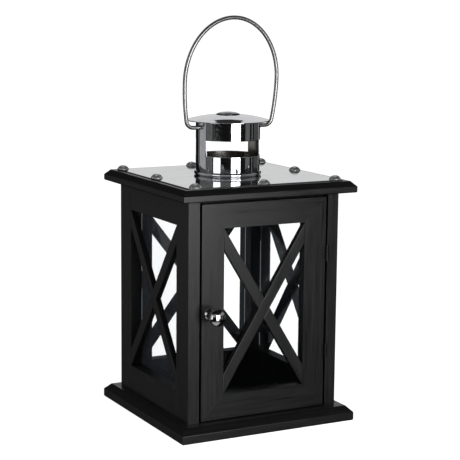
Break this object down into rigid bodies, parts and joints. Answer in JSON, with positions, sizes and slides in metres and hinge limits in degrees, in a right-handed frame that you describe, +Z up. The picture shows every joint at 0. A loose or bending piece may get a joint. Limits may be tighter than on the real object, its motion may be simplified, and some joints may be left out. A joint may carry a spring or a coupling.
{
  "type": "candle lantern",
  "caption": "Square black wooden candle lantern with crossed bars over clear panes, a hinged front door, a steel-topped roof, a vented chimney and a swinging wire handle.",
  "frame": {"origin": "centre of the flat underside of the base board", "axes": "+Z up through the chimney, the door faces -Y, +X towards the hinge side of the door"},
  "size_m": [0.1626, 0.1694, 0.3415],
  "materials": {
    "black_wood": "satin black paint over solid wood",
    "clear_glass": "clear float glass",
    "black_hinge": "black painted steel",
    "polished_chrome": "mirror polished",
    "polished_plate": "polished steel sheet",
    "gunmetal_nail": "polished gunmetal",
    "zinc_steel": "zinc plated steel",
    "magnet": "sintered, dull"
  },
  "bodies": {
    "lantern": {"base_board": "black_wood", "roof_board": "black_wood", "front_left_post": "black_wood", "front_right_post": "black_wood", "rear_left_post": "black_wood", "rear_right_post": "black_wood", "left_bottom_rail": "black_wood", "left_top_rail": "black_wood", "right_bottom_rail": "black_wood", "right_top_rail": "black_wood", "back_bottom_rail": "black_wood", "back_top_rail": "black_wood", "header_rail": "black_wood", "left_bar_rising": "black_wood", "left_bar_falling": "black_wood", "right_bar_rising": "black_wood", "right_bar_falling": "black_wood", "back_bar_rising": "black_wood", "back_bar_falling": "black_wood", "left_glass": "clear_glass", "right_glass": "clear_glass", "back_glass": "clear_glass", "lower_hinge_post_leaf": "black_hinge", "upper_hinge_post_leaf": "black_hinge", "hinge_pins": "black_hinge", "hinge_post_screws": "black_hinge", "chimney_tube": "polished_chrome", "chimney_cap": "polished_chrome", "cap_button": "polished_chrome", "roof_plate": "polished_plate", "roof_nails": "gunmetal_nail", "base_screws": "zinc_steel", "roof_screws": "zinc_steel", "cap_strap": "zinc_steel", "cap_nut": "zinc_steel", "catch_magnet": "magnet"},
    "door": {"door_left_stile": "black_wood", "door_right_stile": "black_wood", "door_top_rail": "black_wood", "door_bottom_rail": "black_wood", "door_bar_rising": "black_wood", "door_bar_falling": "black_wood", "door_glass": "clear_glass", "door_bead_left": "black_wood", "door_bead_right": "black_wood", "door_bead_top": "black_wood", "door_bead_bottom": "black_wood", "door_knob": "polished_chrome", "knob_screw": "zinc_steel", "strike_plate": "zinc_steel", "strike_screw": "zinc_steel", "lower_hinge_door_leaf": "black_hinge", "upper_hinge_door_leaf": "black_hinge", "hinge_door_screws": "black_hinge"},
    "handle": {"bail_handle": "polished_chrome"}
  },
  "joints": [
    {"name": "door_hinge", "type": "hinge", "parent": "lantern", "child": "door", "pos_m": [0.059, -0.0687, 0.103], "axis": [0, 0, 1], "range_deg": [0, 180]},
    {"name": "handle_pivot", "type": "hinge", "parent": "lantern", "child": "handle", "pos_m": [0, 0, 0.2478], "axis": [1, 0, 0], "range_deg": [-120, 111]}
  ]
}
